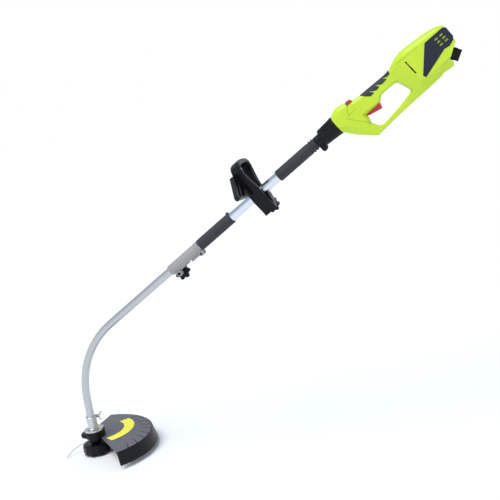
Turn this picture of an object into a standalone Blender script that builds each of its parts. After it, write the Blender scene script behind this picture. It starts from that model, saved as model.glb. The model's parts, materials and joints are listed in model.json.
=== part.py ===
"""Corded string trimmer: rear motor housing with D-handle, two-piece shaft, loop handle, guard and bump head.

World frame: origin on the bump knob's ground face, +Z up the head's spindle, +X back to the operator.
Shaft frame (u, y, w): origin where the lower tube's bend ends, u up along the shaft, w square to it.
All numbers below are millimetres until MM scales them.
"""

import math

import bmesh
import bpy
from mathutils import Matrix, Vector

for old in list(bpy.data.objects):
    bpy.data.objects.remove(old, do_unlink=True)

# ---------------------------------------------------------------- driving dimensions (mm)
MM = 0.001
GAP = 0.3
BEND_RADIUS = 273.0
BEND_START_Z = 185.0
BEND_DEG = 57.23
UPPER_TUBE_R = 14.0
LOWER_TUBE_R = 12.0
TUBE_WALL = 1.5
SLEEVE_R = 17.0
COUPLER_R = 16.0
COUPLER_SPAN = (267.0, 386.0)
HOUSING_WALL = 2.8
TUBE_TOP = 1108.0
GUARD_TOP_Z = 53.0
GUARD_R = 184.0
SKIRT_BOTTOM_R = 195.5
SKIRT_BOTTOM_Z = 13.0
GUARD_FROM_DEG = -46.3
GUARD_TO_DEG = 95.9
HEAD_R = 43.0
LINE_R = 1.2

COLOURS = {
    "lime_plastic": (0.52, 0.72, 0.06, 1.0, 0.0, 0.35),
    "dark_panel": (0.05, 0.055, 0.09, 1.0, 0.0, 0.4),
    "soft_grip": (0.06, 0.065, 0.075, 1.0, 0.0, 0.8),
    "red_plastic": (0.55, 0.04, 0.05, 1.0, 0.0, 0.35),
    "black_plastic": (0.02, 0.02, 0.022, 1.0, 0.0, 0.45),
    "foam": (0.07, 0.07, 0.08, 1.0, 0.0, 0.85),
    "bright_tube": (0.75, 0.78, 0.82, 1.0, 1.0, 0.25),
    "grey_cast": (0.62, 0.62, 0.61, 1.0, 0.3, 0.5),
    "grey_plastic": (0.42, 0.43, 0.44, 1.0, 0.0, 0.5),
    "yellow_label": (0.85, 0.75, 0.15, 1.0, 0.0, 0.4),
    "steel": (0.55, 0.56, 0.58, 1.0, 1.0, 0.35),
    "copper": (0.7, 0.33, 0.12, 1.0, 1.0, 0.4),
    "nylon": (0.8, 0.8, 0.78, 1.0, 0.0, 0.4),
}


def material(name):
    found = bpy.data.materials.get(name)
    if found:
        return found
    found = bpy.data.materials.new(name)
    found.use_nodes = True
    shader = found.node_tree.nodes["Principled BSDF"]
    values = COLOURS[name]
    shader.inputs["Base Color"].default_value = values[:4]
    shader.inputs["Metallic"].default_value = values[4]
    shader.inputs["Roughness"].default_value = values[5]
    return found


# ---------------------------------------------------------------- shape helpers
def solid(name, points, faces, slot, smooth=False):
    """One closed mesh from points in mm."""
    mesh = bpy.data.meshes.new(name)
    mesh.from_pydata([Vector(p) * MM for p in points], [], faces)
    work = bmesh.new()
    work.from_mesh(mesh)
    bmesh.ops.recalc_face_normals(work, faces=work.faces)
    work.to_mesh(mesh)
    work.free()
    mesh.materials.append(material(slot))
    obj = bpy.data.objects.new(name, mesh)
    bpy.context.scene.collection.objects.link(obj)
    if smooth:
        mesh.polygons.foreach_set("use_smooth", [True] * len(mesh.polygons))
    return obj


AXES = {
    "u": ((1, 0, 0), (0, 1, 0), (0, 0, 1)),
    "y": ((0, 1, 0), (0, 0, 1), (1, 0, 0)),
    "z": ((0, 0, 1), (1, 0, 0), (0, 1, 0)),
}


def turned(name, profile, slot, axis="u", centre=(0, 0, 0), segs=20, lobes=0, depth=0.0, lobed=()):
    """A turned solid. profile: (height, radius) pairs; a bar starts and ends at radius 0, a ring is closed.

    lobes cuts that many flutes of this depth round the rings whose index is in lobed.
    """
    along, side, up = (Vector(v) for v in AXES[axis])
    points, rings = [], []
    for index, (height, radius) in enumerate(profile):
        middle = Vector(centre) + along * height
        if radius < 1e-6:
            rings.append([len(points)])
            points.append(middle)
            continue
        ring = []
        for k in range(segs):
            turn = 2 * math.pi * k / segs
            size = radius
            if index in lobed:
                size -= depth * (0.5 - 0.5 * math.cos(lobes * turn))
            ring.append(len(points))
            points.append(middle + side * (size * math.cos(turn)) + up * (size * math.sin(turn)))
        rings.append(ring)
    closed = len(rings[0]) > 1
    pairs = list(zip(rings, rings[1:] + (rings[:1] if closed else [])))
    if not closed:
        pairs = pairs[: len(rings) - 1]
    faces = []
    for a, b in pairs:
        for k in range(segs):
            n = (k + 1) % segs
            if len(a) == 1:
                faces.append((a[0], b[k], b[n]))
            elif len(b) == 1:
                faces.append((a[k], b[0], a[n]))
            else:
                faces.append((a[k], b[k], b[n], a[n]))
    return solid(name, points, faces, slot, smooth=True)


def bar(name, lo, hi, radius, slot, axis="u", centre=(0, 0, 0), segs=16, edge=0.0):
    """A plain round bar, with its end edges taken off by edge."""
    if edge:
        profile = [(lo, 0), (lo, radius - edge), (lo + edge, radius)]
        profile += [(hi - edge, radius), (hi, radius - edge), (hi, 0)]
    else:
        profile = [(lo, 0), (lo, radius), (hi, radius), (hi, 0)]
    return turned(name, profile, slot, axis, centre, segs)


def ring(name, lo, hi, outer, inner, slot, axis="u", centre=(0, 0, 0), segs=20, edge=0.0):
    """A sleeve with a bore right through."""
    profile = [(lo, inner), (lo, outer), (hi, outer), (hi, inner)]
    if edge:
        profile[1:3] = [(lo, outer - edge), (lo + edge, outer), (hi - edge, outer), (hi, outer - edge)]
    return turned(name, profile, slot, axis, centre, segs)


def prism(name, outline, lo, hi, slot, axis="y"):
    """An outline pushed through from lo to hi.

    On y the outline is (u, w), on u it is (y, w), on z it is (x, y).
    """
    place = {
        "y": lambda a, b, h: (a, h, b),
        "u": lambda a, b, h: (h, a, b),
        "z": lambda a, b, h: (a, b, h),
    }[axis]
    count = len(outline)
    points = [place(a, b, lo) for a, b in outline] + [place(a, b, hi) for a, b in outline]
    faces = [tuple(range(count)), tuple(range(2 * count - 1, count - 1, -1))]
    for k in range(count):
        n = (k + 1) % count
        faces.append((k, k + count, n + count, n))
    return solid(name, points, faces, slot)


def box(name, lo, hi, slot):
    outline = [(lo[0], lo[2]), (hi[0], lo[2]), (hi[0], hi[2]), (lo[0], hi[2])]
    return prism(name, outline, lo[1], hi[1], slot)


def loft(name, rings, slot):
    """A skin over rings of equal length, capped at both ends."""
    count = len(rings[0])
    points = [p for one in rings for p in one]
    faces = []
    for r in range(len(rings) - 1):
        a, b = r * count, (r + 1) * count
        for k in range(count):
            n = (k + 1) % count
            faces.append((a + k, b + k, b + n, a + n))
    faces.append(tuple(range(count)))
    last = (len(rings) - 1) * count
    faces.append(tuple(range(last + count - 1, last - 1, -1)))
    return solid(name, points, faces, slot, smooth=True)


def frames_along(path):
    """Tangent, side and up at each point of a path, carried along without twist."""
    path = [Vector(p) for p in path]
    tangents = []
    for k in range(len(path)):
        before, after = path[max(k - 1, 0)], path[min(k + 1, len(path) - 1)]
        tangents.append((after - before).normalized())
    side = tangents[0].orthogonal().normalized()
    found = []
    for point, tangent in zip(path, tangents):
        side = (side - tangent * side.dot(tangent)).normalized()
        found.append((point, tangent, side, tangent.cross(side)))
    return found


def rod(name, path, radius, slot, segs=10):
    """A round rod along a path."""
    rings = []
    for point, _, side, up in frames_along(path):
        turns = [2 * math.pi * k / segs for k in range(segs)]
        rings.append([point + side * (radius * math.cos(t)) + up * (radius * math.sin(t)) for t in turns])
    return loft(name, rings, slot)


def pipe(name, path, outer, inner, slot, segs=20):
    """A round tube along a path, open at both ends."""
    points, faces = [], []
    frames = frames_along(path)
    for radius in (outer, inner):
        for point, _, side, up in frames:
            for k in range(segs):
                t = 2 * math.pi * k / segs
                points.append(point + side * (radius * math.cos(t)) + up * (radius * math.sin(t)))
    shift = len(frames) * segs
    for k in range(segs):
        n = (k + 1) % segs
        for r in range(len(frames) - 1):
            a, b = r * segs, (r + 1) * segs
            faces.append((a + k, b + k, b + n, a + n))
            faces.append((shift + a + k, shift + a + n, shift + b + n, shift + b + k))
        last = (len(frames) - 1) * segs
        faces.append((k, n, shift + n, shift + k))
        faces.append((last + k, shift + last + k, shift + last + n, last + n))
    return solid(name, points, faces, slot, smooth=True)


def coil(name, centre, radius, wire, z0, z1, turns, slot, segs=5, steps=9):
    """A compression spring standing on z."""
    total = int(turns * steps)
    path = []
    for k in range(total + 1):
        t = 2 * math.pi * k / steps
        rise = z0 + wire + (z1 - z0 - 2 * wire) * k / total
        path.append((centre[0] + radius * math.cos(t), centre[1] + radius * math.sin(t), rise))
    return rod(name, path, wire, slot, segs)


def tidy_mesh(mesh):
    """Merges the near-coincident points a Boolean leaves and drops the faces that close up."""
    work = bmesh.new()
    work.from_mesh(mesh)
    bmesh.ops.remove_doubles(work, verts=work.verts, dist=2e-6)
    bmesh.ops.dissolve_degenerate(work, edges=work.edges, dist=1e-6)
    work.to_mesh(mesh)
    work.free()


def join(target, *tools, how="DIFFERENCE"):
    """Cuts, adds or crosses the tools with the target and stores the plain result."""
    for tool in tools:
        step = target.modifiers.new("step", "BOOLEAN")
        step.operation = how
        step.solver = "EXACT"
        step.object = tool
        bpy.context.view_layer.update()
        graph = bpy.context.evaluated_depsgraph_get()
        mesh = bpy.data.meshes.new_from_object(target.evaluated_get(graph))
        target.modifiers.clear()
        slot = target.data.materials[0]
        target.data = mesh
        mesh.materials.clear()
        mesh.materials.append(slot)
        mesh.polygons.foreach_set("material_index", [0] * len(mesh.polygons))
        tidy_mesh(mesh)
        bpy.data.objects.remove(tool, do_unlink=True)
    return target


def copy_of(obj, name):
    twin = bpy.data.objects.new(name, obj.data.copy())
    bpy.context.scene.collection.objects.link(twin)
    return twin


def mirrored(obj, name):
    """The same solid on the other side of y = 0."""
    twin = copy_of(obj, name)
    twin.data.transform(Matrix.Scale(-1, 4, (0, 1, 0)))
    twin.data.flip_normals()
    return twin


def on_axis(obj, point):
    """Moves the object's own origin to a point in mm and leaves the solid where it is."""
    shift = Vector(point) * MM
    obj.data.transform(Matrix.Translation(-shift))
    obj.location = obj.location + shift
    return obj


def grown(outline, by):
    """An outline moved outwards by a distance, corner by corner."""
    area = sum(a[0] * b[1] - b[0] * a[1] for a, b in zip(outline, outline[1:] + outline[:1]))
    sign = 1.0 if area > 0 else -1.0
    found = []
    for k, here in enumerate(outline):
        before, after = outline[k - 1], outline[(k + 1) % len(outline)]
        e1 = (Vector(here) - Vector(before)).normalized()
        e2 = (Vector(after) - Vector(here)).normalized()
        n1, n2 = Vector((e1.y, -e1.x)) * sign, Vector((e2.y, -e2.x)) * sign
        middle = (n1 + n2).normalized()
        reach = by / max(0.5, middle.dot(n1))
        found.append((here[0] + middle.x * reach, here[1] + middle.y * reach))
    return found


def disc_outline(circles, per=10):
    """The tight outline (convex hull) round several (x, y, radius) circles."""
    points = []
    for x, y, radius in circles:
        count = per * 2
        for k in range(count):
            t = 2 * math.pi * k / count
            points.append((x + radius * math.cos(t), y + radius * math.sin(t)))
    points = sorted({(round(x, 4), round(y, 4)) for x, y in points})

    def half(seq):
        kept = []
        for p in seq:
            while len(kept) >= 2:
                (ax, ay), (bx, by) = kept[-2], kept[-1]
                if (bx - ax) * (p[1] - ay) - (by - ay) * (p[0] - ax) > 1e-6:
                    break
                kept.pop()
            kept.append(p)
        return kept[:-1]

    return half(points) + half(points[::-1])


# ---------------------------------------------------------------- housing shells
# u, top, bottom, half width, half width at the foot, corner across, corner down, knee, foot corner
HOUSING = [
    (922, 27, -27, 27, 25, 22, 22, -8, 20),
    (930, 33, -37, 28, 23, 21, 21, -12, 16),
    (944, 36.5, -54, 28.5, 21, 20, 20, -20, 11),
    (958, 35.5, -67, 28, 19, 20, 19, -24, 8),
    (970, 32.5, -79, 26.5, 17.5, 18, 16, -26, 7),
    (979, 29.5, -87, 25, 16.5, 16, 14, -26, 6.5),
    (989, 27, -96, 23, 15.5, 15, 13, -24, 6),
    (995, 21.8, -95.6, 22, 15, 14, 12, -22, 6),
    (1006, 21, -94.6, 20, 14.5, 14, 12, -20, 5.5),
    (1024, 18.8, -93, 18, 14, 12, 12, -18, 5.5),
    (1060, 17.6, -90.6, 17.2, 13.8, 12, 12, -16, 5.5),
    (1096, 16.8, -89.4, 17.2, 13.8, 12, 12, -16, 5.5),
    (1110, 17.4, -88.8, 18.5, 14.2, 13, 12, -18, 6),
    (1124, 20.5, -88.4, 23, 15.5, 15, 13, -24, 6.5),
    (1138, 27, -88, 29, 18, 19, 16, -34, 7),
    (1152, 32, -88, 34.5, 21, 22, 18, -44, 8),
    (1170, 35.5, -87.5, 39, 24, 24, 20, -58, 8.5),
    (1190, 35.5, -87, 40, 25, 24, 20, -62, 9),
    (1211, 34, -86, 40, 25, 24, 20, -62, 9),
    (1224, 32.5, -83, 40, 25, 24, 20, -62, 9),
    (1250, 29.8, -85.5, 40, 25, 24, 19, -62, 9),
    (1277, 24.2, -86, 40, 25, 24, 16, -62, 9),
    (1290, 19, -86, 40, 25, 24, 12, -62, 9),
    (1304, 10, -86, 39.5, 25, 24, 8, -62, 9),
]
REAR_LINE = [
    (1298.5, 60), (1298.5, -36), (1296.5, -40), (1258, -65.8), (1257.5, -70), (1260, -79), (1256, -84.5),
    (1220, -120), (900, -120), (900, 60),
]
OPENING = [
    (1000, -40), (1000.5, -31), (1047, -30.2), (1054, -26.5), (1061, -19.5), (1068, -18),
    (1108, -18), (1117, -22), (1129, -55), (1129.5, -60), (1124, -64), (1083, -73),
    (1024, -81.3), (1013, -80.5), (1004.5, -74), (995.5, -58),
]
FLARE = [(8, 0.0), (12, 1.0), (15.5, 3.5), (20, 7.0), (45, 10.0)]
GRIP_PAD = [
    (1118, 30), (1018, 30), (1022, 17), (1031, 7), (1042, -2), (1054, -1), (1045, 12), (1056, 4), (1063, 0),
    (1075, 2), (1067, 13.5), (1079, 5.5), (1085, 2.5), (1103, 4.5), (1093, 15), (1107, 8), (1118, 10),
]
SIDE_PANEL = [
    (1299, 5), (1299, -27), (1295, -33), (1279, -38.5), (1264, -36), (1183.5, -60.5),
    (1181, -52), (1236, 9), (1295, 9),
]


def housing_ring(row, shrink):
    """One section of the housing: crowned top, flat sides to a knee, then in to a narrower foot."""
    u, top, low, half, foot, across, down, knee, toe = row
    top, low, half, foot = top - shrink, low + shrink, half - shrink, foot - shrink
    across, down, toe = max(across - shrink, 2), max(down - shrink, 2), max(toe - shrink, 1.5)
    right = []
    for k in range(5):
        t = math.radians(90 - 22.5 * k)
        right.append((half - across + across * math.cos(t), top - down + down * math.sin(t)))
    right.append((half, knee))
    for k in range(4):
        t = math.radians(-30 * k)
        right.append((foot - toe + toe * math.cos(t), low + toe + toe * math.sin(t)))
    ring_points = [(u, y, w) for y, w in right] + [(u, -y, w) for y, w in reversed(right)]
    return ring_points


def housing_body(name, shrink, slot="lime_plastic", first=None, last=None):
    rows = [list(row) for row in HOUSING]
    if first:
        rows = [row for row in rows if row[0] > first - 10]
        rows[0][0] = first
    if last:
        rows[-1][0] = last
    return loft(name, [housing_ring(row, shrink) for row in rows], slot)


def flared(name, outline, steps, slot):
    """A cutter whose outline opens out towards both faces. steps: (y, growth)."""
    rows = [(-y, g) for y, g in reversed(steps)] + [(y, g) for y, g in steps]
    rings = []
    for y, growth in rows:
        rings.append([(u, y, w) for u, w in grown(outline, growth)])
    return loft(name, rings, slot)


SCREWS = [(964, -58), (1240, -70)]
TRIGGER_PIVOT = (1003.5, 0, -26)
LOCK_SPAN = (978, 993)
LOCK_FLOOR = 19.5


def housing_shells():
    outer = housing_body("outer", 0.0)
    join(outer, prism("rear_cut", REAR_LINE, -80, 80, "lime_plastic"), how="INTERSECT")
    join(outer, flared("d_hole", OPENING, FLARE, "lime_plastic"))

    hollow = housing_body("hollow", HOUSING_WALL, first=946, last=1296.5)
    inner_rear = [(1295.7, 60), (1295.7, -36.5), (1256, -63), (1254.6, -79), (1248, -84)]
    inner_rear += [(900, -120), (900, 60)]
    join(hollow, prism("inner_rear", inner_rear, -80, 80, "lime_plastic"), how="INTERSECT")
    join(hollow, flared("d_wall", grown(OPENING, HOUSING_WALL), FLARE, "lime_plastic"))
    lock_low, lock_high = LOCK_SPAN[0] - 2, LOCK_SPAN[1] + 2.3
    lock_wall = box("lock_wall", (lock_low - 3, -60, LOCK_FLOOR - 3), (lock_high + 3, 60, 60), "lime_plastic")
    join(hollow, lock_wall)
    walls = []
    front = box("front_rib", (1146, -70, -130), (1150, 70, 70), "lime_plastic")
    join(front, bar("front_seat", 1140, 1156, 11.2, "lime_plastic", segs=16))
    join(front, bar("lead_pass", 1140, 1156, 5, "lime_plastic", centre=(0, 0, -66), segs=12))
    walls.append(front)
    middle = box("field_rib", (1190, -70, -34), (1193, 70, 70), "lime_plastic")
    join(middle, bar("field_seat", 1180, 1200, 30.4, "lime_plastic", segs=20))
    walls.append(middle)
    rear = box("rear_rib", (1246, -70, -34), (1250, 70, 70), "lime_plastic")
    join(rear, bar("rear_seat", 1240, 1256, 9.2, "lime_plastic", segs=16))
    walls.append(rear)
    for u, w in SCREWS:
        walls.append(bar("boss", -70, 70, 4.2, "lime_plastic", "y", (u, 0, w), segs=12))
    for side in (-1, 1):
        lo, hi = sorted((side * 8.2, side * 70))
        walls.append(bar("pin_boss", lo, hi, 3.8, "lime_plastic", "y", TRIGGER_PIVOT, segs=12))
    join(hollow, *walls)
    join(outer, hollow)

    cutters = [bar("tube_bore", 900, TUBE_TOP + 4, UPPER_TUBE_R + GAP, "lime_plastic", segs=20)]
    pad = prism("pad_zone", grown(GRIP_PAD, GAP), -60, 60, "lime_plastic")
    join(pad, housing_body("pad_core", 1.0))
    cutters.append(pad)
    for side in (-1, 1):
        lo, hi = sorted((side * 38.2, side * 80))
        cutters.append(prism("panel_seat", grown(SIDE_PANEL, GAP), lo, hi, "lime_plastic"))
        lo, hi = sorted((side * 34, side * 80))
        slot_line = [(1166.8, 6), (1170.6, 6), (1172.4, -35), (1168.6, -35)]
        cutters.append(prism("side_slot", slot_line, lo, hi, "lime_plastic"))
        for k in range(4):
            low = -24 + 8 * k
            y0, y1 = sorted((side * 6, side * 34))
            cutters.append(box("rear_vent", (1280, y0, low), (1310, y1, low + 3.5), "lime_plastic"))
    cutters.append(box("trigger_slot", (998.3, -7.6, -36), (1050, 7.6, -19), "lime_plastic"))
    cutters.append(box("lock_shelf", (lock_low, -60, LOCK_FLOOR), (lock_high, 60, 60), "lime_plastic"))
    slot_low, slot_high = (LOCK_SPAN[0] - 0.5, -9.5, 12), (LOCK_SPAN[1] + 0.5, 9.5, 22)
    cutters.append(box("lock_slot", slot_low, slot_high, "lime_plastic"))
    cutters.append(inlet_block("inlet_hole", 40, -4, 0.4, "lime_plastic"))
    cutters.append(inlet_block("flange_room", 21, 11.5, 1.4, "lime_plastic"))
    for u, w in SCREWS:
        cutters.append(bar("pilot", -9, 12, 1.75, "lime_plastic", "y", (u, 0, w), segs=12))
        cutters.append(bar("counterbore", 10, 70, 3.7, "lime_plastic", "y", (u, 0, w), segs=16))
    cutters.append(bar("pin_hole", -13.3, 13.3, 1.6, "lime_plastic", "y", TRIGGER_PIVOT, segs=12))
    join(outer, *cutters)

    right = copy_of(outer, "housing_right")
    outer.name = "housing_left"
    join(outer, box("keep_left", (850, -90, -150), (1350, -GAP / 2, 90), "lime_plastic"), how="INTERSECT")
    join(right, box("keep_right", (850, GAP / 2, -150), (1350, 90, 90), "lime_plastic"), how="INTERSECT")


INLET_DIR = Vector((0.51, 0, -0.86)).normalized()
INLET_END = Vector((1282.5, 0, -76))


def inlet_block(name, back, front, grow, slot, half=15.7, deep=12.5):
    """A rounded block on the inlet's slanted axis, between two distances behind its end face."""
    side = Vector((-INLET_DIR.z, 0, INLET_DIR.x))
    corners = []
    for sa, sy, t0 in ((1, 1, 0), (-1, 1, 90), (-1, -1, 180), (1, -1, 270)):
        for k in range(4):
            t = math.radians(t0 + 30 * k)
            reach = 5 + grow
            corners.append((sa * (half - 5) + reach * math.cos(t), sy * (deep - 5) + reach * math.sin(t)))
    rings = []
    for distance in (back, front):
        base = INLET_END - INLET_DIR * distance
        rings.append([base + side * a + Vector((0, y, 0)) for a, y in corners])
    return loft(name, rings, slot)


housing_shells()

# overmoulded grip pad
grip_pad = prism("grip_overmold", GRIP_PAD, -60, 60, "soft_grip")
join(grip_pad, housing_body("pad_skin", -0.9), how="INTERSECT")
join(grip_pad, housing_body("pad_inside", 0.7))

# vented side panels, wrapped round the rear
panel_left = prism("vent_panel_left", SIDE_PANEL, -40.8, -38.5, "dark_panel")
join(panel_left, box("wrap", (1298.9, -40.8, -26.5), (1301.2, -GAP / 2, 4.5), "dark_panel"), how="UNION")
for u, w in ((1280, -3), (1281, -12.5), (1282, -22), (1264, -3), (1265, -12.5), (1266, -22)):
    slot_box = [(u - 5.5, w - 1), (u - 4, w - 2.2), (u + 4, w - 2.2), (u + 5.5, w - 1)]
    slot_box += [(u + 5.5, w + 1), (u + 4, w + 2.2), (u - 4, w + 2.2), (u - 5.5, w + 1)]
    join(panel_left, prism("vent", slot_box, -50, -30, "dark_panel"))
for k in range(3):
    join(panel_left, box("grille", (1290, -32, -21.5 + 8 * k), (1310, -8, -18.5 + 8 * k), "dark_panel"))
mirrored(panel_left, "vent_panel_right")

# trigger, its pin, the lock-off slider and the switch
lever = [
    (1001, -22), (1047, -22.5), (1047.6, -31), (1044, -45), (1040, -46), (1020, -41.5), (1004, -38),
    (1000.7, -31),
]
trigger = prism("trigger", lever, -7, 7, "red_plastic")
join(trigger, bar("pivot_bore", -9, 9, 1.7, "red_plastic", "y", TRIGGER_PIVOT, segs=12))
on_axis(trigger, TRIGGER_PIVOT)
bar("trigger_pin", -12.8, 12.8, 1.5, "steel", "y", TRIGGER_PIVOT, segs=12)
lock_low, lock_high = LOCK_SPAN
lock_line = [(lock_low, 17.6), (lock_high, 17.6), (lock_high, 26), (lock_high - 4, 30.5)]
lock_line += [(lock_low + 2, 31.5), (lock_low, 30)]
lock = prism("lock_off_button", lock_line, -9, 9, "red_plastic")
on_axis(lock, ((lock_low + lock_high) / 2, 0, 24))
box("power_switch", (958, -8, -38), (996, 8, -20), "black_plastic")

# inlet with its pins, and the leads inside the shells
inlet = inlet_block("inlet_plug", 38, 0, 0.0, "black_plastic")
join(inlet, inlet_block("inlet_flange", 20.5, 12, 1.0, "black_plastic"), how="UNION")
join(inlet, inlet_block("inlet_mouth", 15, -3, -3.2, "black_plastic"))
for k, (u, w) in enumerate(SCREWS):
    shank = [(-8, 0), (-8, 1.4), (10.3, 1.4), (10.3, 3.2), (12, 3.2), (12.8, 1.6), (12.8, 0)]
    turned("housing_screw_%d" % (k + 1), shank, "steel", "y", (u, 0, w), segs=12)

# ---------------------------------------------------------------- motor
ring("motor_field", 1173, 1212, 30, 24, "steel")
winding = [(1162, 20.3), (1162, 25), (1164, 27), (1172.7, 27), (1172.7, 23.7), (1212.3, 23.7), (1212.3, 27)]
turned("field_winding", winding + [(1219, 27), (1221, 25), (1221, 20.3)], "copper")
core = [(1170, 4.3), (1170, 18.9), (1214, 18.9), (1214, 4.3)]
turned("motor_armature", core, "steel", segs=36, lobes=12, depth=1.6, lobed=(1, 2))
turned("commutator", [(1222, 4.3), (1222, 11), (1236, 11), (1236, 4.3)], "copper", segs=16)
bar("motor_shaft", 1132, 1253, 4, "steel", edge=0.6)
fan = [(1154.4, 4.3), (1154.4, 27), (1156, 27), (1161, 26), (1161, 16), (1157, 8), (1157, 4.3)]
turned("cooling_fan", fan, "black_plastic", segs=30, lobes=10, depth=7, lobed=(3,))
ring("front_bearing", 1144.5, 1152.5, 10.9, 4.25, "steel", segs=16, edge=0.6)
ring("rear_bearing", 1244, 1251.5, 8.9, 4.25, "steel", segs=16, edge=0.6)
ring("drive_coupler", 1112.5, 1138, 8, 4.3, "steel", segs=16, edge=0.8)
brushes = ring("brush_carrier", 1236.6, 1239, 26, 9, "black_plastic", segs=16)
for lo, hi in ((-25, -11.6), (11.6, 25)):
    join(brushes, box("holder", (1226, lo, -4), (1238, hi, 4), "black_plastic"), how="UNION")

# ---------------------------------------------------------------- shaft
ring("upper_tube", 347, TUBE_TOP, UPPER_TUBE_R, UPPER_TUBE_R - TUBE_WALL, "bright_tube", segs=22)
bar("upper_drive_shaft", 345, 1131.5, 3.5, "steel", segs=12)
nut_profile = [
    (866, 14.4), (866, 22.5), (869, 24.5), (874, 25), (908, 27), (914, 28), (920, 28),
    (921.6, 26.5), (921.6, 14.4),
]
turned("collar_nut", nut_profile, "black_plastic", segs=42, lobes=14, depth=1.8, lobed=(3, 4))
hanger = ring("strap_hanger", 845, 865.6, 16.6, 14.3, "black_plastic", edge=0.6)
lug_line = [(846, -14), (865, -14), (864.5, -26), (861, -31.5), (856, -33.5), (850, -33.5), (846.5, -29)]
lug = prism("lug", lug_line, -7, 7, "black_plastic")
join(lug, bar("tube_room", 840, 870, 15.5, "black_plastic", segs=20))
join(hanger, lug, how="UNION")
join(hanger, bar("eye_hole", 830, 880, 4.0, "black_plastic", centre=(0, 0, -25.6), segs=16))
grip_end = [(702, 14.3), (702, 15.8), (703.5, 17), (822, 17), (823, 15.4), (825, 15.4), (827, 18.2)]
grip_end += [(830, 18.2), (832, 15.4), (834, 15.4), (836, 17.8), (839, 17.8), (841, 15.4)]
grip_end += [(844.5, 15.4), (844.5, 14.3)]
turned("upper_sleeve", grip_end, "foam")
sleeve = ring("lower_sleeve", 388.5, 519, SLEEVE_R + 0.3, UPPER_TUBE_R + GAP, "foam", edge=1.0)
join(sleeve, bar("clip_nub", 511, 518, 2.6, "foam", centre=(0, 0, 18), segs=10), how="UNION")

# loop handle: two wide legs that hug the tube and rise to a rounded top
LOOP = [
    (22, -62), (22, -48), (22, -14), (22, 8), (24.5, 20), (33, 35), (45, 52), (55, 69),
    (59.5, 82), (56.5, 91.5), (48, 97.5), (32, 100.5), (14, 101.5),
]
LOOP_BOLT = (624, 0, -49)


def loop_section(y, w, out):
    """A rounded band section at one point of the loop; wide at the clamp, slimmer at the top."""
    rise = min(1.0, max(0.0, (w - 5) / 90))
    middle = LOOP_BOLT[0] + 13.0 * rise * rise + (2.0 if w < -20 else 0.0)
    wide = 20.0 - 4.5 * rise
    thick = 7.0 + 1.0 * rise
    corner = 3.5 + 3.0 * rise
    points = []
    for su, so, t0 in ((1, 1, 0), (-1, 1, 90), (-1, -1, 180), (1, -1, 270)):
        for k in range(3):
            t = math.radians(t0 + 45 * k)
            du = su * (wide - corner) + corner * math.cos(t)
            do = so * (thick - corner) + corner * math.sin(t)
            points.append((middle + du, y + out[0] * do, w + out[1] * do))
    return points


def loop_handle():
    path = LOOP + [(-y, w) for y, w in reversed(LOOP)]
    rings = []
    for k, (y, w) in enumerate(path):
        before, after = path[max(k - 1, 0)], path[min(k + 1, len(path) - 1)]
        along = Vector((after[0] - before[0], after[1] - before[1])).normalized()
        rings.append(loop_section(y, w, (along.y, -along.x)))
    handle = loft("loop_handle", rings, "black_plastic")
    join(handle, bar("bolt_way", -40, 40, 3.4, "black_plastic", "y", LOOP_BOLT, segs=14))
    return handle


loop_handle()
saddle_line = [(607, -14.6), (607, -58), (610, -61), (640, -61), (644, -57), (652, -20), (652, -14.6)]
saddle = prism("handle_clamp", saddle_line, -14.6, 14.6, "black_plastic")
join(saddle, bar("tube_rest", 590, 660, UPPER_TUBE_R + GAP, "black_plastic", segs=22))
join(saddle, bar("bolt_way", -40, 40, 3.4, "black_plastic", "y", LOOP_BOLT, segs=14))
star = [
    (-28, 0), (-28, 3), (29.4, 3), (29.4, 9), (33, 9.5), (34, 20), (36, 22), (44, 22),
    (46.5, 19), (47, 10), (47, 0),
]
LOBE_RINGS = (5, 6, 7, 8)
knob = turned("handle_knob", star, "black_plastic", "y", LOOP_BOLT, 28, lobes=7, depth=5, lobed=LOBE_RINGS)
on_axis(knob, LOOP_BOLT)

BARRIER = [
    (-30, 10.5), (-33.4, 18), (-42.8, 31.5), (-55, 49), (-65.6, 66), (-69, 78.5),
    (-73, 82), (-79, 77), (-160, 30), (-163, 24), (-159, 18.5), (-40, 9),
]
barrier = prism("barrier_bar", BARRIER, 608, 622, "black_plastic", "u")
groove_outer = [(-77, 72), (-150, 28), (-152, 24), (-142, 21.5), (-73, 64)]
groove_inner = [(-68, 57), (-130, 22), (-108, 19), (-60, 41.5), (-62, 51)]
for groove in (groove_outer, groove_inner):
    join(barrier, prism("groove", groove, 614, 630, "black_plastic", "u"))

# shaft coupler with its clamp ears, cross bolts and star knob
EAR_LOW = (284, 0, -23.5)
EAR_HIGH = (377, 0, -21)
coupler = bar("coupler_body", COUPLER_SPAN[0], COUPLER_SPAN[1], COUPLER_R, "grey_cast", segs=22, edge=1.0)
collar = bar("ring_line", 374, 378, COUPLER_R + 0.8, "grey_cast", segs=22, edge=0.6)
join(coupler, collar, how="UNION")
for (u, _, w), radius in ((EAR_LOW, 8.5), (EAR_HIGH, 7.2)):
    outline = disc_outline([(u, w, radius), (u, -8, radius)], 7)
    join(coupler, prism("ear", outline, -9, 9, "grey_cast"), how="UNION")
join(coupler, box("clamp_rail", (288.3, -6.2, -18.7), (330, 6.2, -9.1), "grey_cast"), how="UNION")
join(coupler, box("clamp_rail", (340, -4.2, -22.6), (373.1, 4.2, -9.4), "grey_cast"), how="UNION")
join(coupler, bar("lower_bore", 250, 346.3, LOWER_TUBE_R + GAP, "grey_cast", segs=20))
join(coupler, bar("upper_bore", 346.2, 400, UPPER_TUBE_R + GAP, "grey_cast", segs=20))
for u, _, w in (EAR_LOW, EAR_HIGH):
    join(coupler, bar("bolt_way", -20, 20, 2.6, "grey_cast", "y", (u, 0, w), segs=12))
join(coupler, box("clamp_slit", (260, -0.8, -40), (332, 0.8, -5), "grey_cast"))
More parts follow.
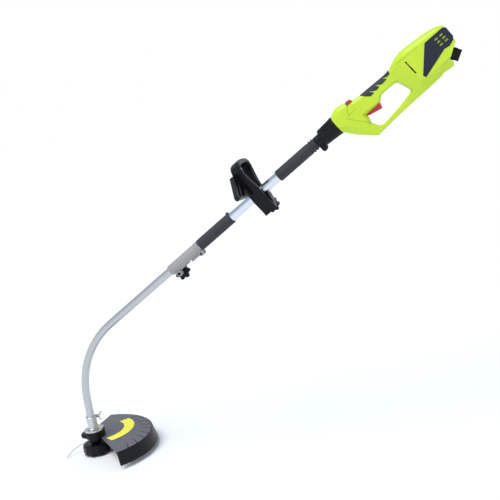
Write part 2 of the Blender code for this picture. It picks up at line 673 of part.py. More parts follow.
stud = [(-13, 0), (-13, 3), (-12, 4.5), (-9.3, 4.5), (-9.3, 2.3), (15.5, 2.3), (15.5, 0)]
turned("coupler_bolt", stud, "black_plastic", "y", EAR_LOW, segs=14)
star = [
    (16, 0), (16, 2.6), (9.3, 2.6), (9.3, 7), (17.5, 7.5), (17.5, 22), (19.5, 25),
    (28, 25), (31, 22), (31.5, 9), (31.5, 0),
]
knob = turned("coupler_knob", star, "black_plastic", "y", EAR_LOW, 28, lobes=7, depth=5, lobed=LOBE_RINGS)
on_axis(knob, EAR_LOW)
cap = [
    (-10.2, 0), (-10.2, 3.2), (-9.3, 3.2), (-9.3, 2.3), (9.3, 2.3), (9.3, 7), (21, 7), (22.5, 5.5), (22.5, 0),
]
turned("coupler_cap_bolt", cap, "black_plastic", "y", EAR_HIGH, segs=16)

# ---------------------------------------------------------------- place the shaft frame
SHAFT_AT = Vector((
    BEND_RADIUS * (1 - math.cos(math.radians(BEND_DEG))),
    0,
    BEND_START_Z + BEND_RADIUS * math.sin(math.radians(BEND_DEG)),
))
shaft_frame = bpy.data.objects.new("shaft_frame", None)
bpy.context.scene.collection.objects.link(shaft_frame)
shaft_frame.location = SHAFT_AT * MM
shaft_frame.rotation_euler = (0, -math.radians(90 - BEND_DEG), 0)
for obj in list(bpy.data.objects):
    if obj.type == "MESH":
        obj.parent = shaft_frame
SHAFT_UP = Vector((math.sin(math.radians(BEND_DEG)), 0, math.cos(math.radians(BEND_DEG))))


# ---------------------------------------------------------------- curved lower shaft (world frame from here on)
def bend_path(start_z, end_u, steps=11):
    path = [(0, 0, start_z), (0, 0, (start_z + BEND_START_Z) / 2), (0, 0, BEND_START_Z)]
    for k in range(1, steps + 1):
        t = math.radians(BEND_DEG) * k / steps
        path.append((BEND_RADIUS * (1 - math.cos(t)), 0, BEND_START_Z + BEND_RADIUS * math.sin(t)))
    for share in (0.5, 1.0):
        path.append(SHAFT_AT + SHAFT_UP * end_u * share)
    return path


pipe("lower_tube", bend_path(86.0, 345.0), LOWER_TUBE_R, LOWER_TUBE_R - TUBE_WALL, "bright_tube", segs=18)
rod("flexible_shaft", bend_path(89.0, 341.0), 3.5, "steel", segs=8)

# ---------------------------------------------------------------- head mounting
CLAMP_BOLT = (0, 17, 116)
clamp = ring("tube_clamp", 81.4, 122, 15.8, LOWER_TUBE_R + GAP, "steel", "z", segs=16, edge=0.8)
join(clamp, bar("bolt_boss", -14, 15, 5.2, "steel", "u", CLAMP_BOLT, segs=16), how="UNION")
join(clamp, ring("foot_ring", 81.4, 84.4, 18.5, 13, "steel", "z", segs=20, edge=0.8), how="UNION")
join(clamp, bar("tube_room", 80, 124, LOWER_TUBE_R + GAP, "steel", "z", segs=20))
join(clamp, bar("bolt_way", -30, 40, 2.3, "steel", "u", CLAMP_BOLT, segs=12))
wing = [(-28, 0), (-28, 2), (-26.5, 3.8), (-22, 3.8), (-20.5, 2), (15.4, 2), (15.4, 4.5), (23, 4), (23, 0)]
wing = turned("clamp_wing", wing, "steel", "u", CLAMP_BOLT, segs=16)
for up in (-1, 1):
    middle = CLAMP_BOLT[1]
    blade = [(17, middle + up * 3), (20, middle + up * 3), (29, middle + up * 12), (27.5, middle + up * 14),
             (24, middle + up * 14)]
    join(wing, prism("blade", blade, 115, 117, "steel", "z"), how="UNION")
to_bolt = Matrix.Translation(Vector(CLAMP_BOLT) * MM)
wing.data.transform(to_bolt @ Matrix.Rotation(math.radians(62), 4, "X") @ to_bolt.inverted())
on_axis(wing, CLAMP_BOLT)

FLANGE = [(0, 0, 29.5), (17, 17, 11), (0, 27, 8)]
GASKET = [(x, y, r + 2.5) for x, y, r in FLANGE]
flange = prism("head_flange", disc_outline(FLANGE, 12), 76, 81, "steel", "z")
join(flange, bar("shaft_way", 70, 90, 8.4, "steel", "z", segs=20))
gasket = prism("flange_gasket", disc_outline(GASKET, 12), 71.3, 75.7, "black_plastic", "z")
join(gasket, bar("shaft_way", 60, 90, 8.4, "black_plastic", "z", segs=20))

# gearless arbor housing: drum, a lobe to the front, and an ear the guard screws to
GUARD_SCREWS = [(20, 19), (0, 30)]
drum = [(40, 0), (40, 19), (43, 20), (53.3, 20), (53.3, 27), (71, 28), (71, 0)]
arbor = turned("arbor_housing", drum, "black_plastic", "z", segs=20)
lobe_rings = []
for z, radius in ((53.3, 19), (56, 23), (60, 24.5), (64, 24), (68, 21), (71, 16)):
    lobe_rings.append([(x, y, z) for x, y in disc_outline([(-22, 5, radius), (-4, 0, radius)], 8)])
lobe = loft("lobe", lobe_rings, "black_plastic")
join(arbor, lobe, how="UNION")
ear = disc_outline([(0, 0, 26), (20, 19, 8), (0, 30, 7)], 9)
join(arbor, prism("ear", ear, 53.3, 71, "black_plastic", "z"), how="UNION")
join(arbor, bar("bearing_way", 30, 62, 11.3, "black_plastic", "z", segs=16))
join(arbor, bar("spindle_way", 30, 80, 6.5, "black_plastic", "z", segs=20))
for x, y in GUARD_SCREWS:
    join(arbor, bar("screw_way", 50, 66, 1.9, "black_plastic", "z", (x, y, 0), segs=12))
ring("arbor_bearing", 45, 60, 11, 4.8, "steel", "z", segs=16, edge=0.5)

# ---------------------------------------------------------------- guard
def at_deg(angle, radius):
    turn = math.radians(angle)
    return (radius * math.cos(turn), radius * math.sin(turn))


def guard_plate():
    steps = 30
    outline = []
    for k in range(steps + 1):
        angle = GUARD_FROM_DEG + (GUARD_TO_DEG - GUARD_FROM_DEG) * k / steps
        outline.append(at_deg(angle, GUARD_R - 3.5))
    outline += [(-26, 109), (-27, 48), (-22, 41), (-5, 29)]
    plate = prism("guard_plate", outline, GUARD_TOP_Z - 3, GUARD_TOP_Z, "grey_plastic", "z")
    join(plate, bar("arbor_way", 40, 60, 20.4, "grey_plastic", "z", segs=22))
    for k in range(9):
        inner = at_deg(-26 + 11.7 * k, 147)
        outer = at_deg(-34.5 + 11.7 * k, 188)
        run = Vector((outer[0] - inner[0], outer[1] - inner[1])).normalized()
        side = Vector((-run.y, run.x))
        corners = [(inner[0] + side.x * h, inner[1] + side.y * h) for h in (1.0, -1.0)]
        corners += [(outer[0] + side.x * h, outer[1] + side.y * h) for h in (-2.4, 2.4)]
        join(plate, prism("slot", corners, 45, 60, "grey_plastic", "z"))
    for x, y in GUARD_SCREWS:
        join(plate, bar("screw_way", 40, 60, 2.2, "grey_plastic", "z", (x, y, 0), segs=12))
    return plate


guard_plate()


def swept_band(name, section, start, finish, steps, slot):
    """A (radius, z) section turned between two angles."""
    rings = []
    for k in range(steps + 1):
        angle = start + (finish - start) * k / steps
        rings.append([at_deg(angle, r) + (z,) for r, z in section])
    return loft(name, rings, slot)


skirt_section = [
    (GUARD_R - 3.2, GUARD_TOP_Z), (GUARD_R, GUARD_TOP_Z - 0.6), (SKIRT_BOTTOM_R, SKIRT_BOTTOM_Z),
    (SKIRT_BOTTOM_R - 3, SKIRT_BOTTOM_Z), (GUARD_R - 2.4, 45.0), (GUARD_R - 12, 47.2), (GUARD_R - 12, 49.7),
    (GUARD_R - 3.2, 49.7),
]
skirt = swept_band("guard_skirt", skirt_section, GUARD_FROM_DEG, GUARD_TO_DEG, 30, "black_plastic")
tab = [at_deg(91.0, 160), at_deg(92.2, 160), at_deg(92.0, 191.5), at_deg(91.0, 191.5)]
join(skirt, prism("cutter_tab", tab, 22, 44, "black_plastic", "z"), how="UNION")
blade = [at_deg(92.35, 158), at_deg(92.8, 158), at_deg(92.7, 181), at_deg(92.35, 181)]
prism("cutter_blade", blade, 24, 42, "steel", "z")

LABEL_CENTRE = (-6, 46)
label = []
for radius, start, finish in ((115.5, -47, 53), (82.5, 56, -50)):
    for k in range(15):
        turn = math.radians(start + (finish - start) * k / 14)
        label.append((LABEL_CENTRE[0] + radius * math.cos(turn), LABEL_CENTRE[1] + radius * math.sin(turn)))
prism("guard_label", label, GUARD_TOP_Z + GAP, GUARD_TOP_Z + GAP + 0.6, "yellow_label", "z")
for k, (x, y) in enumerate(GUARD_SCREWS):
    screw = [(45.8, 0), (45.8, 3.2), (47, 4), (49.7, 4), (49.7, 1.6), (64, 1.6), (64, 0)]
    turned("guard_screw_%d" % (k + 1), screw, "steel", "z", (x, y, 0), segs=12)

# ---------------------------------------------------------------- bump head
shell = [
    (8.6, 38), (8.6, HEAD_R - 1), (10.5, HEAD_R), (31, HEAD_R), (34.5, HEAD_R - 2.5), (35.5, 34),
    (35.5, 16), (38.5, 13), (38.5, 4.3), (32, 4.3), (32, 38),
]
RIM_RINGS = (1, 2, 3)
spool_housing = turned("spool_housing", shell, "black_plastic", "z", segs=36, lobes=12, depth=2.2, lobed=RIM_RINGS)
EYELET_DEG = 168.0
EYELET_Z = 25.5
EYELET_PLACE = Matrix.Translation((0, 0, EYELET_Z * MM)) @ Matrix.Rotation(math.radians(EYELET_DEG), 4, "Z")
way = bar("eyelet_way", 30, 50, 3.4, "black_plastic", segs=14)
way.data.transform(EYELET_PLACE)
join(spool_housing, way)
eyelet = ring("line_eyelet", HEAD_R - 3.3, HEAD_R + 0.8, 3.1, 1.5, "steel", segs=14)
eyelet.data.transform(EYELET_PLACE)
cap = [(2.6, 22.2), (2.6, 38), (4.6, 42.5), (8.3, 43.5), (8.3, 22.2)]
turned("spool_cap", cap, "black_plastic", "z", segs=32, lobes=8, depth=5.5, lobed=RIM_RINGS)
spindle = [(29.5, 0), (29.5, 3.6), (31.5, 3.9), (43.6, 3.9), (43.6, 4.5), (74, 4.5), (79, 3.2)]
spindle += [(84, 3.2), (84, 0)]
turned("spindle", spindle, "steel", "z", segs=16)
spool = [(9.2, 12), (9.2, 34), (11, 34.6), (12, 14.5), (22, 14.5), (23, 34.6), (24.6, 34), (24.6, 12)]
turned("spool", spool, "black_plastic", "z", segs=20)
ring("wound_line", 12.4, 21.8, 30, 14.9, "nylon", "z", segs=20, edge=3.0)
knob = [(0, 0), (0, 12.5), (1.5, 17.5), (4.5, 20.5), (8.8, 21.2), (8.8, 11.6), (24.6, 11.6), (24.6, 0)]
turned("bump_knob", knob, "black_plastic", "z", segs=20)
coil("bump_spring", (0, 0), 8.0, 0.8, 25.0, 31.7, 3.0, "steel")


def smooth_route(points, count):
    """A Catmull-Rom curve through the route's points, read at even steps."""
    ends = [Vector(p) for p in points]
    ends = [ends[0] * 2 - ends[1]] + ends + [ends[-1] * 2 - ends[-2]]
    found = []
    for k in range(count):
        place = k / (count - 1) * (len(points) - 1)
        span = min(int(place), len(points) - 2)
        t = place - span
        a, b, c, d = ends[span : span + 4]
        bow = (2 * a - 5 * b + 4 * c - d) * t**2 + (3 * b - a - 3 * c + d) * t**3
        found.append(0.5 * (2 * b + (c - a) * t + bow))
    return found


def cutting_line():
    route = [(-43.6, 9.3, 25.5), (-53, 11.8, 26), (-64, 11.5, 22), (-76, 2, 16.4)]
    route += [(-86, -12, 10), (-92, -33, 2.8)]
    curve = bpy.data.curves.new("cutting_line", "CURVE")
    curve.dimensions = "3D"
    curve.bevel_depth = LINE_R * MM
    curve.bevel_resolution = 2
    curve.use_fill_caps = True
    spline = curve.splines.new("POLY")
    places = smooth_route(route, 22)
    spline.points.add(len(places) - 1)
    for point, place in zip(spline.points, places):
        point.co = (*(place * MM), 1.0)
    curve.materials.append(material("nylon"))
    bpy.context.scene.collection.objects.link(bpy.data.objects.new("cutting_line", curve))


cutting_line()
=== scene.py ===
import json
import math

import bpy
from mathutils import Matrix, Vector


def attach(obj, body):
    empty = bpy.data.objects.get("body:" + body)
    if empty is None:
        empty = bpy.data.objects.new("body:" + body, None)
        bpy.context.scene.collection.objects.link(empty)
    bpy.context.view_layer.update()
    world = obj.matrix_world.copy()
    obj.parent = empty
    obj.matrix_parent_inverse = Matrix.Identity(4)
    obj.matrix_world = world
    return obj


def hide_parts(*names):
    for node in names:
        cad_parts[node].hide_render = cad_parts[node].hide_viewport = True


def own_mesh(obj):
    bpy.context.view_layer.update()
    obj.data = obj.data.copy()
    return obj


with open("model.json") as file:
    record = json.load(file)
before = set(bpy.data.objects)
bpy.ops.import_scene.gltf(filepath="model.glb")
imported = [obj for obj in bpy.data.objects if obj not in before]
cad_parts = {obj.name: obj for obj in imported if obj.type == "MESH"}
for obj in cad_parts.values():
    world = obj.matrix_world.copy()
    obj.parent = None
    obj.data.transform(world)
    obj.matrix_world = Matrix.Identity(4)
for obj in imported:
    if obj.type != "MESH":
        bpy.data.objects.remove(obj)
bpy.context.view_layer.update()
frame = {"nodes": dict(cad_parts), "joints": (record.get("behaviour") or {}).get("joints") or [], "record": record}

# ---- Camera, lights and floor
# The trimmer stands on its head on a pale floor with the handle up to the right.
# One wide soft light high on the left, a weak cool fill low on the right and a white room around.
MM = 0.001
AIM = Vector((0.599, 0.0, 0.594))
CAMERA_AZIMUTH = math.radians(14.67)
CAMERA_ELEVATION = math.radians(10.65)
CAMERA_DISTANCE = 2.598
CAMERA_ROLL = math.radians(-9.31)
CAMERA_LENS = 64.8

back = Vector((
    math.sin(CAMERA_AZIMUTH) * math.cos(CAMERA_ELEVATION),
    -math.cos(CAMERA_AZIMUTH) * math.cos(CAMERA_ELEVATION),
    math.sin(CAMERA_ELEVATION),
))
bpy.ops.object.camera_add(location=AIM + back * CAMERA_DISTANCE)
camera = bpy.context.object
level = (-back).to_track_quat("-Z", "Y").to_matrix()
camera.rotation_euler = (level @ Matrix.Rotation(CAMERA_ROLL, 3, "Z")).to_euler()
camera.data.lens = CAMERA_LENS
camera.data.sensor_width = 36.0
bpy.context.scene.camera = camera
bpy.context.scene.view_settings.view_transform = "Standard"

for name, place, spread, power, colour in (
    ("key_light", (-1.1, -1.5, 3.6), 40.0, 2.65, (1.0, 0.995, 0.985)),
    ("cool_fill", (2.6, -1.8, 0.2), 60.0, 0.25, (0.62, 0.78, 1.0)),
):
    bpy.ops.object.light_add(type="SUN", location=place)
    light = bpy.context.object
    light.name = name
    light.rotation_euler = (-Vector(place)).to_track_quat("-Z", "Y").to_euler()
    light.data.angle = math.radians(spread)
    light.data.energy = power
    light.data.color = colour

# The room is white all round at eye level and dimmer and cooler overhead, so metal and black keep their form.
room = bpy.data.worlds.new("studio_room")
bpy.context.scene.world = room
room.use_nodes = True
air = room.node_tree
facing = air.nodes.new("ShaderNodeTexCoord")
parts = air.nodes.new("ShaderNodeSeparateXYZ")
rise = air.nodes.new("ShaderNodeMapRange")
rise.inputs["From Min"].default_value = 0.22
rise.inputs["From Max"].default_value = 0.60
sky = air.nodes.new("ShaderNodeMix")
sky.data_type = "RGBA"
sky.inputs[6].default_value = (1.0, 1.0, 1.0, 1.0)
sky.inputs[7].default_value = (0.34, 0.42, 0.52, 1.0)
air.links.new(facing.outputs["Generated"], parts.inputs["Vector"])
air.links.new(parts.outputs["Z"], rise.inputs["Value"])
air.links.new(rise.outputs["Result"], sky.inputs[0])
air.links.new(sky.outputs[2], air.nodes["Background"].inputs["Color"])
air.nodes["Background"].inputs["Strength"].default_value = 1.0


class Wire:
    """One value in a finish. Arithmetic on it adds the Math nodes."""

    def __init__(self, finish, socket):
        self.finish = finish
        self.socket = socket

    def maths(self, operation, left, right):
        return self.finish.node("ShaderNodeMath", {"operation": operation}, {0: left, 1: right})

    def __add__(self, other):
        return self.maths("ADD", self, other)

    def __sub__(self, other):
        return self.maths("SUBTRACT", self, other)

    def __rsub__(self, other):
        return self.maths("SUBTRACT", other, self)

    def __mul__(self, other):
        return self.maths("MULTIPLY", self, other)

    def __gt__(self, other):
        return self.maths("GREATER_THAN", self, other)

    __radd__ = __add__
    __rmul__ = __mul__


class Finish:
    """A surface: its material, its Principled shader, and one method that adds any node."""

    def __init__(self, name, metallic=0.0, **constants):
        self.material = bpy.data.materials.new(name)
        self.material.use_nodes = True
        self.tree = self.material.node_tree
        self.shader = self.tree.nodes["Principled BSDF"]
        self.shader.inputs["Metallic"].default_value = metallic
        for socket, value in constants.items():
            self.shader.inputs[socket.replace("_", " ")].default_value = value

    def node(self, kind, settings=None, sockets=None, out=0):
        made = self.tree.nodes.new(kind)
        for key, value in (settings or {}).items():
            setattr(made, key, value)
        for key, value in (sockets or {}).items():
            if isinstance(value, Wire):
                self.tree.links.new(value.socket, made.inputs[key])
            else:
                made.inputs[key].default_value = value
        return Wire(self, made.outputs[out])

    def noise(self, scale, detail=2.0, stretch=(1.0, 1.0, 1.0), turn=(0.0, 0.0, 0.0)):
        where = self.node("ShaderNodeTexCoord", out="Object")
        sockets = {"Vector": where, "Rotation": turn, "Scale": stretch}
        sized = self.node("ShaderNodeMapping", {"vector_type": "TEXTURE"}, sockets)
        return self.node("ShaderNodeTexNoise", None, {"Vector": sized, "Scale": scale, "Detail": detail})

    def mix(self, share, low, high):
        return self.node(
            "ShaderNodeMix", {"data_type": "RGBA"}, {0: share, 6: colour4(low), 7: colour4(high)}, out=2
        )

    def set(self, socket, wire):
        self.tree.links.new(wire.socket, self.shader.inputs[socket])

    def bump(self, height, distance, strength=1.0):
        sockets = {"Strength": strength, "Distance": distance, "Height": height}
        self.set("Normal", self.node("ShaderNodeBump", None, sockets))


def colour4(value):
    return value if isinstance(value, Wire) else (*value, 1.0)


def shade(colour, by):
    return tuple(min(1.0, part * by) for part in colour)


def moulded(name, colour, roughness, grain=0.00008, pitch=1500.0, drift=0.10, sheen=0.12, **constants):
    """Injection-moulded plastic: slow colour drift, uneven sheen and a fine eroded grain."""
    finish = Finish(name, **constants)
    slow = finish.noise(11.0, 3.0)
    speck = finish.noise(420.0, 1.0)
    share = slow * 0.7 + speck * 0.3
    finish.set("Base Color", finish.mix(share, shade(colour, 1 - drift), shade(colour, 1 + drift)))
    finish.set("Roughness", finish.noise(70.0, 4.0) * sheen + (roughness - sheen / 2))
    finish.bump(finish.noise(pitch, 1.0), grain)
    return finish


# ---- Cutting line
# A free end of nylon line that leaves the head through its steel eyelet.
# Smoke-grey nylon, bent down by its own weight to the floor.
LINE_DIAMETER = 0.0024
LINE_ROUTE = [
    (-0.0436, 0.0093, 0.0255), (-0.053, 0.0118, 0.026), (-0.064, 0.0115, 0.022),
    (-0.076, 0.002, 0.0164), (-0.086, -0.012, 0.010), (-0.092, -0.033, 0.0028),
]
LINE_POINTS = 22
nylon = moulded("smoked_nylon", (0.33, 0.34, 0.34), 0.30, grain=0.00001, pitch=900.0, drift=0.05, IOR=1.53)


def through(points, count):
    """Even steps along a smooth curve through the points."""
    ends = [Vector(point) for point in points]
    ends = [ends[0] * 2 - ends[1]] + ends + [ends[-1] * 2 - ends[-2]]
    found = []
    for step in range(count):
        place = step / (count - 1) * (len(points) - 1)
        span = min(int(place), len(points) - 2)
        t = place - span
        a, b, c, d = ends[span : span + 4]
        bow = (2 * a - 5 * b + 4 * c - d) * t**2 + (3 * b - a - 3 * c + d) * t**3
        found.append(0.5 * (2 * b + (c - a) * t + bow))
    return found


bpy.ops.object.select_all(action="DESELECT")
line_curve = bpy.data.curves.new("trim_line", "CURVE")
line_curve.dimensions = "3D"
line_curve.bevel_depth = LINE_DIAMETER / 2
line_curve.bevel_resolution = 3
line_curve.use_fill_caps = True
line_places = through(LINE_ROUTE, LINE_POINTS)
line_spline = line_curve.splines.new("POLY")
line_spline.points.add(LINE_POINTS - 1)
for spot, place in zip(line_spline.points, line_places):
    spot.co = (*place, 1.0)
line_curve.materials.append(nylon.material)
trim_line = bpy.data.objects.new("trim_line", line_curve)
bpy.context.scene.collection.objects.link(trim_line)
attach(trim_line, "head")
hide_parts("cutting_line")
line_length = sum((b - a).length for a, b in zip(line_places, line_places[1:]))

# ---- Housing shells
# Two lime moulded shells, left and right, screwed together round the motor and the tube.
# Each has rounded outer edges; the fine crease lines on its flank are drawn in the finish as shallow bump grooves,
# with painted shade darkening the colour along them.
spin_joint = {joint["name"]: joint for joint in frame["joints"]}["motor_spin"]
ALONG = Vector(spin_joint["axis"]).normalized()
UP = Vector((-ALONG.z, 0.0, ALONG.x))
MOTOR_U = 1190.0
SHAFT = Matrix((
    (ALONG.x, 0.0, UP.x, 0.0),
    (0.0, 1.0, 0.0, 0.0),
    (ALONG.z, 0.0, UP.z, 0.0),
    (0.0, 0.0, 0.0, 1.0),
))
SHAFT.translation = Vector(spin_joint["pos_m"]) - ALONG * MOTOR_U * MM
TILT = (0.0, -math.atan2(ALONG.z, ALONG.x), 0.0)

CREASES = [
    ((1128, 19), (1216, 13)), ((1225, -68), (1263, -61)), ((955, -4), (995, -56)),
    ((964, -4), (978, 22)), ((964, -4), (991, 0)),
]
CREASE_HALF = 0.9 * MM
LIME = (0.48, 0.66, 0.022)
lime = moulded("lime_shell", LIME, 0.34, drift=0.05)


def crease(finish, here, start, end):
    """1 on a crease line between two (u, w) points in mm, falling to 0 at its edges.

    here holds the wires of x and z.
    """
    first, last = (SHAFT @ Vector((u * MM, 0.0, w * MM)) for u, w in (start, end))
    run = (last - first).normalized()
    cross = Vector((-run.z, 0.0, run.x))
    off = here[0] * cross.x + here[1] * cross.z - first.dot(cross)
    on = here[0] * run.x + here[1] * run.z - first.dot(run)
    near = finish.node("ShaderNodeMath", {"operation": "ABSOLUTE"}, {0: off})
    fade = {"Value": near, "From Min": 0.0, "From Max": CREASE_HALF, "To Min": 1.0, "To Max": 0.0}
    depth = finish.node("ShaderNodeMapRange", None, fade)
    return depth * (on > 0.0) * ((last - first).length - on > 0.0)


along_x = lime.node("ShaderNodeSeparateXYZ", None, {"Vector": lime.node("ShaderNodeTexCoord", out="Object")})
along_z = Wire(lime, along_x.socket.node.outputs["Z"])
groove_and_shade = sum(crease(lime, (along_x, along_z), start, end) for start, end in CREASES)
plain = lime.mix(lime.noise(11.0, 3.0), shade(LIME, 0.95), shade(LIME, 1.05))
# Painted shade: along the crease lines the colour is darkened towards 45% of the lime, standing in for shade in
# the creases.
lime.set("Base Color", lime.mix(groove_and_shade * 0.45, plain, shade(LIME, 0.45)))
lime.bump(lime.noise(1500.0, 1.0) * 0.03 - groove_and_shade, 0.0010)
BODY_SLOTS = {entry["node"]: entry["material_slot"] for entry in frame["record"]["subparts"]}
NODE_BODIES = {node: body for body, nodes in frame["record"]["behaviour"]["bodies"].items() for node in nodes}


def only(piece):
    """Selects one piece alone."""
    bpy.ops.object.select_all(action="DESELECT")
    piece.select_set(True)
    bpy.context.view_layer.objects.active = piece
    return piece


def finished(piece, *kinds):
    """Applies modifiers given as (kind, settings)."""
    for kind, settings in kinds:
        only(piece)
        step = piece.modifiers.new(kind, kind)
        for key, value in settings.items():
            setattr(step, key, value)
        bpy.ops.object.modifier_apply(modifier=step.name)
    return piece


def rounded(piece, width, segments=2, limit=32, smooth=38):
    """Takes the hard edges off by width in mm and shades the rest smooth."""
    bevel = {"width": width * MM, "segments": segments, "limit_method": "ANGLE"}
    bevel["angle_limit"] = math.radians(limit)
    finished(piece, ("BEVEL", bevel))
    bpy.ops.object.shade_smooth_by_angle(angle=math.radians(smooth))
    finished(piece, ("WEIGHTED_NORMAL", {"keep_sharp": True}))
    return piece


def fit(piece, finish, body, slot, *nodes):
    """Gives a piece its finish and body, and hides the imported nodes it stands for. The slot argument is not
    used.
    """
    piece.data.materials.clear()
    piece.data.materials.append(finish.material)
    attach(piece, body)
    if nodes:
        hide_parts(*nodes)
    return piece


def refined(node, name, finish, width=0.5, segments=2):
    """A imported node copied, its triangles joined into faces and its edges rounded."""
    piece = bpy.data.objects.new(name, frame["nodes"][node].data.copy())
    bpy.context.scene.collection.objects.link(piece)
    only(piece)
    bpy.ops.object.mode_set(mode="EDIT")
    bpy.ops.mesh.select_all(action="SELECT")
    bpy.ops.mesh.customdata_custom_splitnormals_clear()
    bpy.ops.mesh.remove_doubles(threshold=2e-6)
    bpy.ops.mesh.dissolve_limited(angle_limit=math.radians(1.5))
    bpy.ops.object.mode_set(mode="OBJECT")
    rounded(piece, width, segments)
    return fit(piece, finish, NODE_BODIES[node], BODY_SLOTS[node], node)


refined("housing_left", "left_shell", lime, 0.7)
refined("housing_right", "right_shell", lime, 0.7)

# ---- Grip pad, side panels, trigger and lock-off
# Soft charcoal rubber moulded over the grip, dark vented covers on the motor, red controls.
# The panels are clipped into the shells' recesses and wrap round the rear end.
grip_rubber = moulded("grip_rubber", (0.016, 0.018, 0.030), 0.62, grain=0.00035, pitch=700.0)
panel_dark = moulded("panel_navy", (0.008, 0.010, 0.028), 0.36, drift=0.18, Specular_IOR_Level=0.35)
signal_red = moulded("signal_red", (0.50, 0.022, 0.028), 0.32, drift=0.06)
refined("grip_overmold", "grip_pad", grip_rubber, 0.5)
refined("vent_panel_left", "left_panel", panel_dark, 0.35)
refined("vent_panel_right", "right_panel", panel_dark, 0.35)
refined("trigger", "trigger_lever", signal_red, 1.2, 3)
refined("lock_off_button", "lock_button", signal_red, 1.0, 3)

# ---- Shaft tubes
# A drawn bright tube under the housing and a curved satin tube that plugs into it.
# Both show fine draw lines along their length.


def drawn_metal(name, colour, roughness, turn, streak=0.10):
    """Drawn tube: fine lines along its length and a little handling haze."""
    finish = Finish(name, metallic=1.0)
    lines = finish.noise(900.0, 2.0, stretch=(60.0, 1.0, 1.0), turn=turn)
    haze = finish.noise(22.0, 4.0)
    finish.set("Base Color", finish.mix(lines * 0.5 + haze * 0.5, shade(colour, 0.90), shade(colour, 1.08)))
    finish.set("Roughness", lines * streak + haze * 0.10 + (roughness - streak / 2 - 0.05))
    finish.bump(lines, 0.00003)
    return finish


def spun(name, profile, steps=72):
    """A turned piece about the local X axis, from (along, radius) points in mm."""
    bpy.ops.object.select_all(action="DESELECT")
    bpy.ops.mesh.primitive_plane_add(size=MM)
    piece = bpy.context.object
    piece.name = piece.data.name = name
    bpy.ops.object.mode_set(mode="EDIT")
    bpy.ops.mesh.merge(type="CENTER")
    bpy.ops.transform.translate(value=(profile[0][0] * MM, 0.0, profile[0][1] * MM))
    for (a, r), (b, s) in zip(profile, profile[1:]):
        bpy.ops.mesh.extrude_region_move(TRANSFORM_OT_translate={"value": ((b - a) * MM, 0.0, (s - r) * MM)})
    bpy.ops.mesh.select_all(action="SELECT")
    bpy.ops.mesh.spin(steps=steps, angle=2 * math.pi, center=(0, 0, 0), axis=(1, 0, 0))
    bpy.ops.mesh.select_all(action="SELECT")
    bpy.ops.mesh.remove_doubles(threshold=1e-6)
    bpy.ops.mesh.normals_make_consistent(inside=False)
    bpy.ops.object.mode_set(mode="OBJECT")
    return piece


def placed(piece, matrix):
    """Moves a piece's mesh to its place; its object stays at the origin."""
    piece.data.transform(matrix)
    return piece


def across(u, y, w):
    """The place of a piece turned about an axis that crosses the shaft."""
    return SHAFT @ Matrix.Translation(Vector((u, y, w)) * MM) @ Matrix.Rotation(math.radians(90), 4, "Z")


bright_tube = drawn_metal("bright_tube", (0.70, 0.75, 0.84), 0.20, TILT)
satin_tube = drawn_metal("satin_tube", (0.52, 0.53, 0.55), 0.32, TILT)
UPPER_TUBE = [(347, 12.5), (347, 13.6), (347.4, 14), (1107.6, 14), (1108, 13.6), (1108, 12.5), (347, 12.5)]
upper = placed(rounded(spun("main_tube", UPPER_TUBE), 0.1), SHAFT)
fit(upper, bright_tube, "frame", "bright_tube", "upper_tube")
refined("lower_tube", "curved_tube", satin_tube, 0.2)

# ---- Sleeves
# Two dark soft sleeves on the upper tube, the upper one ribbed at its neck.
# Closed-cell foam with a fine pore and a dull surface.
foam = Finish("foam_sleeve")
pores = foam.noise(1600.0, 1.0)
foam.set("Base Color", foam.mix(pores, (0.012, 0.013, 0.016), (0.034, 0.036, 0.042)))
foam.set("Roughness", foam.noise(80.0, 3.0) * 0.12 + 0.66)
foam.bump(pores, 0.00035)
UPPER_SLEEVE = [
    (702, 14.3), (702, 15.8), (702.8, 16.8), (703.8, 17), (821, 17), (822, 16.4), (823, 15.4), (825, 15.4),
    (826, 16), (827, 18.2), (830, 18.2), (831, 16), (832, 15.4), (834, 15.4), (835, 16), (836, 17.8),
    (839, 17.8), (840, 16), (841, 15.4), (844.5, 15.4), (844.5, 14.3), (702, 14.3),
]
top_sleeve = placed(rounded(spun("top_sleeve", UPPER_SLEEVE), 0.25), SHAFT)
fit(top_sleeve, foam, "frame", "foam", "upper_sleeve")
refined("lower_sleeve", "low_sleeve", foam, 0.4)

# ---- Collar nut
# The big black threaded nut that clamps the tube in the housing's nose.
# Moulded plastic with fourteen shallow finger flutes.
black = moulded("black_moulding", (0.0035, 0.0035, 0.0045), 0.36, drift=0.25, Specular_IOR_Level=0.2)


def fluted(piece, count, depth, low, high, floor, sharp=1.0):
    """Presses evenly spaced flutes into a turned piece between two heights, outside a radius, all in mm."""
    for vertex in piece.data.vertices:
        x, y, z = vertex.co / MM
        radius = math.hypot(y, z)
        if low <= x <= high and radius > floor:
            wave = 0.5 - 0.5 * math.cos(count * math.atan2(z, y))
            size = (radius - depth * wave**sharp) / radius
            vertex.co.y *= size
            vertex.co.z *= size
    return piece


COLLAR = [
    (866, 14.4), (866, 22.5), (867, 23.8), (869, 24.5), (872, 24.8), (875, 25), (890, 26), (905, 27),
    (909, 27.2), (914, 28), (920, 28), (921.3, 27.3), (921.6, 26.5), (921.6, 14.4), (866, 14.4),
]
collar = fluted(spun("clamp_collar", COLLAR, 112), 14, 2.0, 873, 910, 20, 3.0)
fit(placed(rounded(collar, 0.3), SHAFT), black, "collar", "black_plastic", "collar_nut")
refined("strap_hanger", "strap_lug", black, 0.5)

# ---- Loop handle, its clamp and the barrier bar
# A black loop in two wide legs bolted round the tube over a saddle block.
# The ribbed barrier bar beside it keeps the operator's feet from the line.
refined("loop_handle", "front_loop", black, 1.0)
refined("handle_clamp", "tube_saddle", black, 0.8)
refined("barrier_bar", "barrier", black, 0.8)

